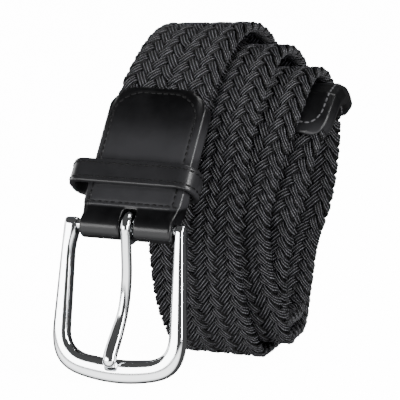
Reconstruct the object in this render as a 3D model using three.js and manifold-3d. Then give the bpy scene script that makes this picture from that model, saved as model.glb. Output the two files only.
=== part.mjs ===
// An elastic stretch belt, rolled up, with its pin buckle standing in front of the roll.
// Millimetres, +Z up, +X along the strap's width, -Y towards the buckle.
// The origin is on the surface the belt rests on, in the middle of the flattened foot of the roll.

import * as THREE from 'three';
import { mergeVertices } from 'three/addons/utils/BufferGeometryUtils.js';
import Module from 'manifold-3d';

const wasm = await Module();
wasm.setup();

// Driving dimensions of the braided strap and its roll
const strapWidth = 30.6;
const strapThickness = 3.8;
const layClearance = 1.0;
const rollRise = 45.9;
const joinTurn = 0.16;
const turnCount = 3.125;
const stationStep = 5.5;
const bankAngle = 3.5;

// Driving dimensions of the leather pieces
const leather = 1.6;
const fit = 0.3;
const tabWidth = 33.8;
const tabLength = 47;
const tabCorner = 12;
const foldWidth = 30;
const foldTaper = 5;
const barReach = 45.9;
const strapInTab = 36;
const slotSide = 0.7;
const keeperWidth = 7.6;
const keeperSlack = 4.6;
const keeperPlay = 1.4;
const keeperUp = 16;
const keeperAside = -2;
const keeperCorner = 3.6;
const tipWidth = 33.6;
const tipLength = 27;
const tipCorner = 6;
const tipWall = 1.5;

// Driving dimensions of the buckle and its tongue
const barRadius = 1.6;
const buckleInside = 33;
const sideBar = 3.5;
const sideFlare = 1.9;
const endBar = 7.2;
const endBow = 2.2;
const buckleReach = 47.15;
const buckleThickness = 4.8;
const buckleAside = -1.2;
const cornerOuter = 13;
const cornerInner = 8;
const toeRise = 3;
const knuckleUp = 1.9;
const edgeRound = 1.3;
const floorGap = 0.05;
const tongueWire = 3.3;
const tongueTip = 4.4;
const tongueSet = 1.6;
const tongueAside = -2.8;
const notchDepth = 0.8;
const tongueOverhang = 2.2;

// Sizes worked out from the ones above
const endTurn = joinTurn + turnCount;
const layPitch = strapThickness + layClearance;
const rollCentre = rollRise + strapThickness / 2;
const pocketHalf = strapThickness / 2 + fit;
const tabHalf = pocketHalf + leather;
const boreRadius = barRadius + fit;
const keeperInside = tabWidth + keeperSlack;

// The roll seen from its end: one row for each direction, turning from the front over the top.
// reach is the distance from the middle as a share of rollRise, lay the spacing of the turns
// there as a share of layPitch: they sit close at the foot and loose at the top.
const rollTable = [
  { angle: 0, reach: 0.675, lay: 0.95 },
  { angle: 30, reach: 0.71, lay: 1.12 },
  { angle: 60, reach: 0.875, lay: 1.23 },
  { angle: 90, reach: 1.11, lay: 1.33 },
  { angle: 120, reach: 0.94, lay: 1.29 },
  { angle: 150, reach: 0.732, lay: 1.17 },
  { angle: 180, reach: 0.654, lay: 1.0 },
  { angle: 210, reach: 0.69, lay: 1.05 },
  { angle: 240, reach: 0.872, lay: 1.12 },
  { angle: 255, reach: 1.0, lay: 1.1 },
  { angle: 270, reach: 1.022, lay: 1.0 },
  { angle: 285, reach: 1.006, lay: 1.1 },
  { angle: 300, reach: 0.89, lay: 1.15 },
  { angle: 330, reach: 0.7, lay: 1.05 },
];

// How far each turn has slid out of the roll, as a share of strapWidth.
const slideTable = [
  { turn: 0.1, shift: -0.325 },
  { turn: 0.15, shift: -0.325 },
  { turn: 0.2, shift: -0.24 },
  { turn: 0.25, shift: -0.15 },
  { turn: 0.35, shift: -0.085 },
  { turn: 0.5, shift: -0.032 },
  { turn: 0.65, shift: 0 },
  { turn: 0.72, shift: 0.06 },
  { turn: 0.79, shift: 0.12 },
  { turn: 0.84, shift: 0.1 },
  { turn: 0.9, shift: 0.08 },
  { turn: 0.96, shift: 0.085 },
  { turn: 1.05, shift: 0.126 },
  { turn: 1.15, shift: 0.165 },
  { turn: 1.25, shift: 0.24 },
  { turn: 1.5, shift: 0.27 },
  { turn: 1.66, shift: 0.27 },
  { turn: 1.75, shift: 0.35 },
  { turn: 1.82, shift: 0.42 },
  { turn: 1.9, shift: 0.35 },
  { turn: 2, shift: 0.361 },
  { turn: 2.1, shift: 0.43 },
  { turn: 2.2, shift: 0.56 },
  { turn: 2.3, shift: 0.58 },
  { turn: 2.5, shift: 0.45 },
  { turn: 2.6, shift: 0.34 },
  { turn: 2.7, shift: 0.3 },
  { turn: 2.78, shift: 0.35 },
  { turn: 2.88, shift: 0.45 },
  { turn: 3, shift: 0.57 },
  { turn: 3.1, shift: 0.66 },
  { turn: 3.18, shift: 0.77 },
  { turn: 3.24, shift: 0.8 },
  { turn: 3.3, shift: 0.74 },
  { turn: 3.4, shift: 0.64 },
];

// The pin's middle line from its eye on the bar to its tip on the end bar: drop is a share of the
// way down, out the distance in front of the bar's axis as a share of the eye's radius,
// aside a share of tongueAside.
const tongueTable = [
  { drop: 0.0, out: 1.0, aside: 0.0 },
  { drop: 0.14, out: 0.62, aside: 0.0 },
  { drop: 0.36, out: 0.12, aside: 0.04 },
  { drop: 0.58, out: 0.05, aside: 0.24 },
  { drop: 0.78, out: 0.42, aside: 0.7 },
  { drop: 0.92, out: 0.86, aside: 0.97 },
  { drop: 1.0, out: 0.98, aside: 1.0 },
];

// A smooth curve through the rows of a table, closed on itself where a period is given.
function follow(rows, at, key, x, period = 0) {
  const count = rows.length;
  const row = (i) => {
    if (!period) return { x: rows[Math.min(Math.max(i, 0), count - 1)][at],
      v: rows[Math.min(Math.max(i, 0), count - 1)][key] };
    const lap = Math.floor(i / count);
    return { x: rows[i - lap * count][at] + lap * period, v: rows[i - lap * count][key] };
  };
  const place = period ? x - Math.floor(x / period) * period : x;
  let i = 0;
  while (i < count - 1 && row(i + 1).x <= place) i += 1;
  const [a, b, c, d] = [row(i - 1), row(i), row(i + 1), row(i + 2)];
  const span = c.x - b.x;
  if (span <= 0) return b.v;
  const u = (place - b.x) / span;
  const into = ((c.v - a.v) / (c.x - a.x)) * span;
  const out = d.x > b.x ? ((d.v - b.v) / (d.x - b.x)) * span : c.v - b.v;
  return (2 * u ** 3 - 3 * u ** 2 + 1) * b.v + (u ** 3 - 2 * u ** 2 + u) * into
    + (3 * u ** 2 - 2 * u ** 3) * c.v + (u ** 3 - u ** 2) * out;
}

// The strap's middle line on the roll: turn 0 is straight in front, going up.
function rollPoint(turn) {
  const angle = (turn - Math.floor(turn)) * 360;
  const reach = follow(rollTable, 'angle', 'reach', angle, 360) * rollRise;
  const lay = follow(rollTable, 'angle', 'lay', angle, 360) * layPitch;
  const radius = reach - lay * (turn - 0.75);
  const rad = THREE.MathUtils.degToRad(angle);
  const lowest = strapThickness / 2 + layPitch * Math.floor(turn);
  return new THREE.Vector3(
    follow(slideTable, 'turn', 'shift', turn) * strapWidth,
    -radius * Math.cos(rad),
    Math.max(rollCentre + radius * Math.sin(rad), lowest),
  );
}

function rollTangent(turn) {
  const h = 0.002;
  return rollPoint(turn + h).sub(rollPoint(turn - h)).normalize();
}

// The free end with the buckle leaves the roll straight, in line with the roll where it leaves.
const join = rollPoint(joinTurn);
const joinTangent = rollTangent(joinTurn).setX(0).normalize();
const barCentre = join.clone().addScaledVector(joinTangent, -barReach);

// A station holds the middle point, the way along the belt, the way across and the way out.
function station(point, along, bank) {
  const across = new THREE.Vector3(1, 0, 0);
  across.addScaledVector(along, -across.dot(along)).normalize();
  const out = across.clone().cross(along);
  const tilt = THREE.MathUtils.degToRad(bank);
  return {
    point,
    along,
    across: across.clone().multiplyScalar(Math.cos(tilt)).addScaledVector(out, Math.sin(tilt)),
    out: out.clone().multiplyScalar(Math.cos(tilt)).addScaledVector(across, -Math.sin(tilt)),
  };
}

// The turns lean outwards over the top of the roll, where only the next turn's edge carries them.
function bankAt(turn) {
  const overTop = Math.max(0, Math.sin(2 * Math.PI * turn));
  return bankAngle * overTop * Math.min(1, Math.max(0, (turn - joinTurn) / 0.08));
}

// Stations up the straight part, given as distances from the bar's axis.
function straightStations(from, to) {
  const count = Math.max(1, Math.round((to - from) / stationStep));
  return Array.from({ length: count + 1 }, (_, i) => {
    const up = from + ((to - from) * i) / count;
    return station(barCentre.clone().addScaledVector(joinTangent, up), joinTangent.clone(), 0);
  });
}

// Stations along the roll, about one step apart.
function rollStations(from, to) {
  const list = [];
  let turn = from;
  while (turn < to - 0.004) {
    list.push(station(rollPoint(turn), rollTangent(turn), bankAt(turn)));
    const speed = rollPoint(turn + 0.001).distanceTo(rollPoint(turn)) / 0.001;
    turn += stationStep / speed;
  }
  list.push(station(rollPoint(to), rollTangent(to), bankAt(to)));
  return list;
}

// The turn that lies a given length of strap past another turn, or before it where length is < 0.
function turnAfter(turn, length) {
  const step = 0.001 * Math.sign(length);
  let at = turn;
  let gone = 0;
  while (gone < Math.abs(length)) {
    gone += rollPoint(at + step).distanceTo(rollPoint(at));
    at += step;
  }
  return at;
}

// A band's section with rounded edges, counter-clockwise seen along the belt.
function bandSection(width, thickness, outward = 0) {
  const w = width / 2;
  const h = thickness / 2;
  const half = [[-w + h, -h], [w - h, -h], [w - 0.29 * h, -0.7 * h], [w, 0], [w - 0.29 * h, 0.7 * h]];
  const other = half.map(([x, y]) => [-x, -y]);
  return [...half, ...other].map(([x, y]) => [x, y + outward]);
}

// A closed solid through rings of points with a fan at each end.
function skin(rings) {
  const size = rings[0].length;
  const position = [];
  const index = [];
  for (const ring of rings) for (const p of ring) position.push(p.x, p.y, p.z);
  for (let i = 0; i < rings.length - 1; i += 1) {
    for (let j = 0; j < size; j += 1) {
      const a = i * size + j;
      const b = i * size + ((j + 1) % size);
      index.push(a, b, b + size, a, b + size, a + size);
    }
  }
  const last = (rings.length - 1) * size;
  for (let j = 1; j < size - 1; j += 1) {
    index.push(0, j + 1, j);
    index.push(last, last + j, last + j + 1);
  }
  const geometry = new THREE.BufferGeometry();
  geometry.setAttribute('position', new THREE.Float32BufferAttribute(position, 3));
  geometry.setIndex(index);
  return geometry;
}

// A ring of points round a station; nothing goes below the surface that the belt rests on.
function ringAt({ point, across, out }, section) {
  return section.map(([x, y]) => {
    const corner = point.clone().addScaledVector(across, x).addScaledVector(out, -y);
    return corner.setZ(Math.max(corner.z, 0));
  });
}

function band(stations, section) {
  return skin(stations.map((s) => ringAt(s, section)));
}

// Booleans on closed meshes
function solid(geometry) {
  const bare = geometry.index ? geometry.clone() : geometry.clone();
  bare.deleteAttribute('normal');
  bare.deleteAttribute('uv');
  const merged = mergeVertices(bare, 1e-4);
  return new wasm.Manifold(new wasm.Mesh({
    numProp: 3,
    vertProperties: new Float32Array(merged.attributes.position.array),
    triVerts: new Uint32Array(merged.index.array),
  }));
}

function geometryOf(manifold) {
  const mesh = manifold.getMesh();
  const geometry = new THREE.BufferGeometry();
  geometry.setAttribute('position', new THREE.Float32BufferAttribute(mesh.vertProperties, 3));
  geometry.setIndex(new THREE.BufferAttribute(new Uint32Array(mesh.triVerts), 1));
  return geometry;
}

// The place of a flat piece on the straight part: x across, y into the roll, z up the tab.
const tabSpace = new THREE.Matrix4().makeBasis(
  new THREE.Vector3(1, 0, 0),
  joinTangent.clone().cross(new THREE.Vector3(1, 0, 0)),
  joinTangent,
).setPosition(barCentre);

// A flat outline extruded through the thickness, from front to back, z up.
function plate(shape, thickness, round = 0) {
  const geometry = new THREE.ExtrudeGeometry(shape, {
    depth: thickness - 2 * round,
    bevelEnabled: round > 0,
    bevelThickness: round,
    bevelSize: round,
    bevelOffset: -round,
    bevelSegments: 2,
    curveSegments: 6,
  });
  geometry.translate(0, 0, -(thickness - 2 * round) / 2);
  return geometry.rotateX(Math.PI / 2);
}

// A disc across the belt with its axis along x.
function disc(radius, length, sides = 20) {
  return new THREE.CylinderGeometry(radius, radius, length, sides).rotateZ(Math.PI / 2);
}

const endOfTab = turnAfter(joinTurn, tabLength - barReach);

const strapStations = [
  ...straightStations(barReach - strapInTab, barReach),
  ...rollStations(joinTurn, endTurn).slice(1),
];

function strap() {
  return band(strapStations, bandSection(strapWidth, strapThickness));
}

// The strap with a little room all round it, for the pockets of the leather pieces.
function strapRoom() {
  const first = strapStations[0];
  const last = strapStations[strapStations.length - 1];
  const moved = (s, by) => ({ ...s, point: s.point.clone().addScaledVector(s.along, by) });
  return solid(band([moved(first, -fit), ...strapStations, moved(last, fit)],
    bandSection(strapWidth + 2 * fit, strapThickness + 2 * fit)));
}

// The tab's outline: narrower at the fold, so that it fits between the buckle's sides.
function tabOutline() {
  const w = tabWidth / 2 + fit;
  const fold = foldWidth / 2;
  const round = tabLength - tabCorner;
  const shape = new THREE.Shape();
  shape.moveTo(-fold, -tabHalf * 2);
  shape.lineTo(fold, -tabHalf * 2);
  shape.lineTo(fold, foldTaper / 2);
  shape.quadraticCurveTo(fold, foldTaper, w, foldTaper * 2);
  shape.lineTo(w, round);
  shape.absellipse(w - tabCorner, round, tabCorner, tabCorner, 0, Math.PI / 2);
  shape.lineTo(-w + tabCorner, tabLength);
  shape.absellipse(-w + tabCorner, round, tabCorner, tabCorner, Math.PI / 2, Math.PI);
  shape.lineTo(-w, foldTaper * 2);
  shape.quadraticCurveTo(-fold, foldTaper, -fold, foldTaper / 2);
  shape.lineTo(-fold, -tabHalf * 2);
  return shape;
}

// The leather tab holds the strap's end and folds round the buckle's bar.
function leatherTab() {
  const body = [...straightStations(0, barReach), ...rollStations(joinTurn, endOfTab).slice(1)];
  for (const s of body) s.point.setX(barCentre.x);
  const flat = body.map((s) => station(s.point, s.along.clone().setX(0).normalize(), 0));
  const outer = solid(band(flat, bandSection(tabWidth, 2 * tabHalf)))
    .add(solid(disc(tabHalf, tabWidth).applyMatrix4(tabSpace)));
  const outline = solid(plate(tabOutline(), 6 * tabHalf).applyMatrix4(tabSpace));
  const bore = solid(disc(boreRadius, 2 * tabWidth).applyMatrix4(tabSpace));
  const eye = boreRadius + tongueWire + slotSide;
  const slot = solid(disc(eye, tongueWire + 2 * slotSide).translate(buckleAside + tongueSet, 0, 0)
    .applyMatrix4(tabSpace));
  return geometryOf(outer.intersect(outline).subtract(strapRoom()).subtract(bore).subtract(slot));
}

// The loose leather loop that keeps the belt's free end.
function keeperLoop() {
  const insideDepth = 2 * tabHalf + keeperPlay;
  const rounded = (path, width, depth, corner) => {
    const [w, d] = [width / 2, depth / 2];
    path.moveTo(-w + corner, -d);
    path.absarc(w - corner, -d + corner, corner, -Math.PI / 2, 0);
    path.absarc(w - corner, d - corner, corner, 0, Math.PI / 2);
    path.absarc(-w + corner, d - corner, corner, Math.PI / 2, Math.PI);
    path.absarc(-w + corner, -d + corner, corner, Math.PI, 1.5 * Math.PI);
    return path;
  };
  const shape = rounded(new THREE.Shape(), keeperInside + 2 * leather, insideDepth + 2 * leather,
    keeperCorner + leather);
  shape.holes.push(rounded(new THREE.Path(), keeperInside, insideDepth, keeperCorner));
  const geometry = new THREE.ExtrudeGeometry(shape, {
    depth: keeperWidth, bevelEnabled: false, curveSegments: 6,
  });
  const rests = insideDepth / 2 - tabHalf - fit;
  return mergeVertices(geometry.translate(keeperAside, rests, keeperUp - keeperWidth / 2)
    .applyMatrix4(tabSpace));
}

// The leather tip closes the strap's inner end, with a blunt rounded outer end.
function leatherTip() {
  const from = turnAfter(endTurn, -(tipLength - 2 * tipWall));
  const path = rollStations(from, endTurn);
  const last = path[path.length - 1];
  const nose = { ...last, point: last.point.clone().addScaledVector(last.along, 2 * tipWall) };
  const outerThickness = strapThickness + 2 * fit + 2 * tipWall;
  const lengths = [0];
  const all = [...path, nose];
  for (let i = 1; i < all.length; i += 1) {
    lengths.push(lengths[i - 1] + all[i].point.distanceTo(all[i - 1].point));
  }
  const total = lengths[lengths.length - 1];
  const narrow = (s) => {
    const near = Math.min(s, total - s);
    const corner = s < total / 2 ? tipCorner : tipCorner * 0.6;
    if (near >= corner) return 1;
    return 1 - (corner - Math.sqrt(corner ** 2 - (corner - near) ** 2)) / (tipWidth / 2) * 0.62;
  };
  const fine = [];
  for (const t of [0, 0.02, 0.06, 0.12, 0.2, 0.3, 0.42, 0.55, 0.68, 0.8, 0.88, 0.94, 0.98, 1]) {
    const s = t * total;
    let i = 0;
    while (i < all.length - 2 && lengths[i + 1] < s) i += 1;
    const u = (s - lengths[i]) / (lengths[i + 1] - lengths[i]);
    const mix = (key) => all[i][key].clone().lerp(all[i + 1][key], u);
    fine.push({ width: tipWidth * narrow(s), point: mix('point'),
      across: mix('across').normalize(), out: mix('out').normalize() });
  }
  const outer = skin(fine.map((s) => ringAt(s, bandSection(s.width, outerThickness))));
  return geometryOf(solid(outer).subtract(strapRoom()));
}

// The buckle leans so that its end bar stands on the surface, or hangs plumb if it can't reach it.
const halfDepth = buckleThickness / 2;
const barHeight = barCentre.z - floorGap;
const heel = halfDepth - edgeRound;
const reachAngle = Math.acos(Math.min(1, barHeight / Math.hypot(buckleReach, heel)));
const lean = Math.max(0, reachAngle + Math.atan2(heel, buckleReach));
const buckleSpace = new THREE.Group();
buckleSpace.position.copy(barCentre);
buckleSpace.position.x += buckleAside;
buckleSpace.rotation.x = -lean;

// The frame in its own plane: x along the bar, z up from the bar's axis.
function buckleFrame() {
  const inside = buckleInside / 2;
  const shoulder = inside + sideBar;
  const outside = shoulder + sideFlare;
  const foot = -buckleReach;
  const shape = new THREE.Shape();
  shape.moveTo(-shoulder, knuckleUp);
  shape.lineTo(-outside, foot + endBow + cornerOuter);
  shape.bezierCurveTo(-outside, foot + endBow + toeRise, -outside + cornerOuter * 0.3, foot + endBow,
    -outside + cornerOuter, foot + endBow * 0.35);
  shape.quadraticCurveTo(0, foot - endBow * 0.35, outside - cornerOuter, foot + endBow * 0.35);
  shape.bezierCurveTo(outside - cornerOuter * 0.3, foot + endBow, outside, foot + endBow + toeRise,
    outside, foot + endBow + cornerOuter);
  shape.lineTo(shoulder, knuckleUp);
  shape.lineTo(inside, knuckleUp);
  const innerFoot = foot + endBar;
  shape.lineTo(inside, innerFoot + cornerInner);
  shape.quadraticCurveTo(inside, innerFoot + endBow * 0.5, inside - cornerInner,
    innerFoot + endBow * 0.3);
  shape.quadraticCurveTo(0, innerFoot - endBow * 0.2, -inside + cornerInner,
    innerFoot + endBow * 0.3);
  shape.quadraticCurveTo(-inside, innerFoot + endBow * 0.5, -inside, innerFoot + cornerInner);
  shape.lineTo(-inside, knuckleUp);
  shape.lineTo(-shoulder, knuckleUp);
  const bow = solid(plate(shape, buckleThickness, edgeRound));
  const bar = solid(disc(barRadius, buckleInside + sideBar, 16));
  const rest = new THREE.CylinderGeometry(tongueTip / 2 + fit, tongueTip / 2 + fit, 2 * endBar, 12);
  rest.rotateX(Math.PI / 2);
  rest.rotateX(Math.PI / 2);
  rest.translate(tongueSet + tongueAside, -halfDepth - tongueTip / 2 + notchDepth, foot + endBar);
  return geometryOf(bow.add(bar).subtract(solid(rest)));
}

// The pin: an eye round the bar and a stem whose tip lies in the notch of the end bar.
function buckleTongue() {
  const eye = boreRadius + tongueWire / 2;
  const down = buckleReach - endBar + tongueOverhang;
  const restOut = (halfDepth - notchDepth + fit + tongueTip / 2) / (0.98 * eye);
  const spine = new THREE.CatmullRomCurve3(tongueTable.map(({ drop, out, aside }) => new THREE.Vector3(
    tongueSet + tongueAside * aside,
    -eye * out * (drop < 0.7 ? 1 : restOut),
    -down * drop,
  )));
  const count = 22;
  const sides = 10;
  const rings = [];
  for (let i = 0; i <= count; i += 1) {
    const u = i / count;
    const point = spine.getPointAt(u);
    const along = spine.getTangentAt(u);
    const across = new THREE.Vector3(1, 0, 0).addScaledVector(along, -along.x).normalize();
    const out = across.clone().cross(along);
    const swell = THREE.MathUtils.smoothstep(u, 0.55, 0.85);
    const close = u > 0.95 ? Math.sqrt(1 - ((u - 0.95) / 0.056) ** 2) : 1;
    const wide = THREE.MathUtils.lerp(tongueWire, tongueTip, swell) / 2 * close;
    const deep = THREE.MathUtils.lerp(tongueWire, tongueTip * 0.8, swell) / 2 * close;
    rings.push(Array.from({ length: sides }, (_, j) => {
      const a = (2 * Math.PI * j) / sides;
      return point.clone().addScaledVector(across, wide * Math.cos(a))
        .addScaledVector(out, -deep * Math.sin(a));
    }));
  }
  const stem = solid(skin(rings));
  const loop = solid(new THREE.TorusGeometry(eye, tongueWire / 2, 10, 20).rotateY(Math.PI / 2)
    .translate(tongueSet, 0, 0));
  const clear = solid(disc(boreRadius, 6 * tongueWire));
  return geometryOf(stem.add(loop).subtract(clear));
}

// Materials, by what the real pieces are made of
const braid = new THREE.MeshStandardMaterial({ color: '#1d1d1f', roughness: 0.8, metalness: 0 });
const hide = new THREE.MeshStandardMaterial({ color: '#17171a', roughness: 0.42, metalness: 0 });
const chrome = new THREE.MeshStandardMaterial({ color: '#d8dadd', roughness: 0.12, metalness: 1 });

function piece(name, geometry, material) {
  const mesh = new THREE.Mesh(geometry, material);
  mesh.name = name;
  return mesh;
}

const belt = new THREE.Group();
belt.add(piece('braided_strap', strap(), braid));
belt.add(piece('leather_tab', leatherTab(), hide));
belt.add(piece('keeper_loop', keeperLoop(), hide));
belt.add(piece('leather_tip', leatherTip(), hide));
buckleSpace.add(piece('buckle_frame', buckleFrame(), chrome));
buckleSpace.add(piece('buckle_tongue', buckleTongue(), chrome));
belt.add(buckleSpace);

export default belt;
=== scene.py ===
# %% [markdown]
# # A braided stretch belt, rolled up
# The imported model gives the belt's solids in one fixed frame: metres, +Z up, the buckle towards -Y.
# This lesson dresses them. The strap becomes a real braid of ribbed cords, the leather gets soft
# edges, grain and stitches, and the buckle gets polished chrome.

# %% Load the frame and measure it
import math

import bmesh
import bpy
import numpy as np
from mathutils import Matrix, Vector
from mathutils.bvhtree import BVHTree


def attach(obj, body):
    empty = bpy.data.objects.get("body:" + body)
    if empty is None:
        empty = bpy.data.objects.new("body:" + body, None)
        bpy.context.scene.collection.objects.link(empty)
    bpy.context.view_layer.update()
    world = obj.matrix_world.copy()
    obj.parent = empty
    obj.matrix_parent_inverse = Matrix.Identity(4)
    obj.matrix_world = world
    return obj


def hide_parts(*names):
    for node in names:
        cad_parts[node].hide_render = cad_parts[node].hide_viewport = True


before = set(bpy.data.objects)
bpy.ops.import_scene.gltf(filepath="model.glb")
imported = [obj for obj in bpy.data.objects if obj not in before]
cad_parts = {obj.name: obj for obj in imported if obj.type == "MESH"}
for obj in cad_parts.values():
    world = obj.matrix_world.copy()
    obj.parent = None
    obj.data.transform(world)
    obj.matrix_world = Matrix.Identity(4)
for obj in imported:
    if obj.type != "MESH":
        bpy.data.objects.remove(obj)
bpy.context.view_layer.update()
MM = 0.001

# %% [markdown]
# ## The camera
# The photograph looks at the roll from its front right and a little above. A long lens keeps the
# buckle and the roll at nearly the same scale. The camera comes first, because every later choice
# of detail is judged through it.

# %% Place the camera
CAMERA_AZIMUTH = math.radians(23)
CAMERA_ELEVATION = math.radians(10.5)
CAMERA_DISTANCE = 0.9
AIM = Vector((0.003, -0.025, 0.0521))
VIEW_WIDTH = 0.1227

camera_data = bpy.data.cameras.new("camera")
camera_data.sensor_width = 36
camera_data.lens = 36 * CAMERA_DISTANCE / VIEW_WIDTH
camera = bpy.data.objects.new("camera", camera_data)
bpy.context.scene.collection.objects.link(camera)
backwards = Vector((
    math.sin(CAMERA_AZIMUTH) * math.cos(CAMERA_ELEVATION),
    -math.cos(CAMERA_AZIMUTH) * math.cos(CAMERA_ELEVATION),
    math.sin(CAMERA_ELEVATION),
))
camera.location = AIM + CAMERA_DISTANCE * backwards
camera.rotation_euler = backwards.to_track_quat("Z", "Y").to_euler()
bpy.context.scene.camera = camera
print("lens", round(camera_data.lens), "mm")

# %% [markdown]
# ## The line that the strap follows
# The strap's middle line is a spiral: for each direction seen from its end, a distance from the
# middle and a spacing of the turns. Each turn has also slid sideways out of the roll. The same
# short tables shape the solid strap, so a braid laid along this line fills the same space.

# %% Sizes of the strap and its roll, in millimetres
STRAP_WIDTH = 30.6
STRAP_THICKNESS = 3.8
LAY_PITCH = STRAP_THICKNESS + 1.0
ROLL_RISE = 45.9
ROLL_CENTRE = ROLL_RISE + STRAP_THICKNESS / 2
JOIN_TURN = 0.16
END_TURN = 3.285
TOP_BANK = math.radians(3.5)
BAR_REACH = 45.9
STRAP_IN_TAB = 36

# Direction in degrees from the front over the top, reach / ROLL_RISE, lay / LAY_PITCH
ROLL_TABLE = [
    (0, 0.675, 0.95), (30, 0.71, 1.12), (60, 0.875, 1.23), (90, 1.11, 1.33), (120, 0.94, 1.29),
    (150, 0.732, 1.17), (180, 0.654, 1.0), (210, 0.69, 1.05), (240, 0.872, 1.12),
    (255, 1.0, 1.1), (270, 1.022, 1.0), (285, 1.006, 1.1), (300, 0.89, 1.15), (330, 0.7, 1.05),
]
# Turn, sideways slide / STRAP_WIDTH
SLIDE_TABLE = [
    (0.1, -0.325), (0.15, -0.325), (0.2, -0.24), (0.25, -0.15), (0.35, -0.085), (0.5, -0.032),
    (0.65, 0), (0.72, 0.06), (0.79, 0.12), (0.84, 0.1), (0.9, 0.08), (0.96, 0.085),
    (1.05, 0.126), (1.15, 0.165), (1.25, 0.24), (1.5, 0.27), (1.66, 0.27), (1.75, 0.35),
    (1.82, 0.42), (1.9, 0.35), (2.0, 0.361), (2.1, 0.43), (2.2, 0.56), (2.3, 0.58), (2.5, 0.45),
    (2.6, 0.34), (2.7, 0.3), (2.78, 0.35), (2.88, 0.45), (3.0, 0.57), (3.1, 0.66), (3.18, 0.77),
    (3.24, 0.8), (3.3, 0.74), (3.4, 0.64),
]


# %% Read a smooth value out of a table
def follow(rows, column, x, period=0):
    """A Hermite curve through the rows; with a period, the table closes on itself."""
    count = len(rows)

    def row(i):
        if not period:
            i = min(max(i, 0), count - 1)
            return rows[i][0], rows[i][column]
        lap, k = divmod(i, count)
        return rows[k][0] + lap * period, rows[k][column]

    place = x % period if period else x
    i = 0
    while i < count - 1 and row(i + 1)[0] <= place:
        i += 1
    (xa, a), (xb, b), (xc, c), (xd, d) = row(i - 1), row(i), row(i + 1), row(i + 2)
    span = xc - xb
    if span <= 0:
        return b
    u = (place - xb) / span
    into = (c - a) / (xc - xa) * span
    out = (d - b) / (xd - xb) * span if xd > xb else c - b
    return (
        (2 * u**3 - 3 * u**2 + 1) * b + (u**3 - 2 * u**2 + u) * into
        + (3 * u**2 - 2 * u**3) * c + (u**3 - u**2) * out
    )


def roll_point(turn):
    """The strap's middle, in millimetres; turn 0 is straight in front, going up."""
    angle = (turn % 1) * 360
    lay = follow(ROLL_TABLE, 2, angle, 360) * LAY_PITCH
    radius = follow(ROLL_TABLE, 1, angle, 360) * ROLL_RISE - lay * (turn - 0.75)
    lowest = STRAP_THICKNESS / 2 + LAY_PITCH * math.floor(turn)
    return np.array([
        follow(SLIDE_TABLE, 1, turn) * STRAP_WIDTH,
        -radius * math.cos(math.radians(angle)),
        max(ROLL_CENTRE + radius * math.sin(math.radians(angle)), lowest),
    ])


# %% Lay stations along the whole strap
def unit(v):
    return v / np.linalg.norm(v)


X_AXIS = np.array([1.0, 0.0, 0.0])
join_point = roll_point(JOIN_TURN)
tab_up = roll_point(JOIN_TURN + 0.002) - roll_point(JOIN_TURN - 0.002)
tab_up[0] = 0
tab_up = unit(tab_up)
tab_in = np.cross(tab_up, X_AXIS)
bar_centre = join_point - BAR_REACH * tab_up

straight = [bar_centre + up * tab_up for up in np.arange(BAR_REACH - STRAP_IN_TAB, BAR_REACH, 1.0)]
turns = np.arange(JOIN_TURN, END_TURN + 0.0005, 0.0025)
line = np.array(straight + [roll_point(t) for t in turns])
bank = np.array([0.0] * len(straight) + [
    TOP_BANK * max(0, math.sin(2 * math.pi * t)) * min(1, (t - JOIN_TURN) / 0.08) for t in turns
])
run = np.concatenate([[0], np.cumsum(np.linalg.norm(np.diff(line, axis=0), axis=1))])
along = np.gradient(line, run, axis=0)
along /= np.linalg.norm(along, axis=1)[:, None]
across = X_AXIS - along * along[:, :1]
across /= np.linalg.norm(across, axis=1)[:, None]
outwards = -np.cross(along, across)
banked = across * np.cos(bank)[:, None] + outwards * np.sin(bank)[:, None]
outwards = outwards * np.cos(bank)[:, None] - across * np.sin(bank)[:, None]
across = banked
strap_length = run[-1]
join_run = STRAP_IN_TAB
print("strap", round(strap_length), "mm")


def on_strap(s, u, w):
    """Points at run s, u across the strap and w out from its middle; all arrays, in millimetres."""
    def at(table):
        return np.stack([np.interp(s, run, table[:, k]) for k in range(3)], axis=1)
    return at(line) + u[:, None] * at(across) + w[:, None] * at(outwards)


def strap_axes(s):
    """The across and outward directions at run s."""
    def at(table):
        return np.stack([np.interp(s, run, table[:, k]) for k in range(3)], axis=1)
    return at(across), at(outwards)


def on_tab(x, y, z):
    """Points in the tab's own space: x across, y into the roll, z up from the bar."""
    place = np.stack([x, y, z], axis=1)
    return bar_centre + place @ np.array([X_AXIS, tab_in, tab_up])


# %% [markdown]
# ## Materials
# Each finish is named for what the real one is. One helper turns a web colour into the linear
# colour that shaders use, and one adds a node with its settings and links.

# %% Helpers for materials and nodes
def linear(hex_colour):
    """An sRGB colour such as #202020 as linear RGBA."""
    parts = [int(hex_colour[i:i + 2], 16) / 255 for i in (1, 3, 5)]
    return [p / 12.92 if p <= 0.04045 else ((p + 0.055) / 1.055) ** 2.4 for p in parts] + [1]


def add_node(tree, kind, links=(), **settings):
    """A node with its settings and inputs; links are (input, output socket) pairs."""
    node = tree.nodes.new(kind)
    inputs = settings.pop("inputs", {})
    for key, value in settings.items():
        setattr(node, key, value)
    for key, value in inputs.items():
        node.inputs[key].default_value = value
    for key, socket in links:
        tree.links.new(socket, node.inputs[key])
    return node


def new_material(name):
    """A material with only a Principled shader; returns both."""
    material = bpy.data.materials.new(name)
    material.use_nodes = True
    return material, material.node_tree.nodes["Principled BSDF"]


# %% [markdown]
# ### Polyester braid
# The cords are spun from matt polyester yarn, and fine twist lines cross each yarn slantwise. The
# colour paints a highlight on the crown of every yarn and shade between the yarns and along the
# twist lines. Each cord carries its run and its place across as attributes, so two sine waves draw
# the yarns and their twist on every cord.

# %% Braid material
YARN_SPACING = 0.95 * MM
TWIST_SPACING = 0.65 * MM

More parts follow.
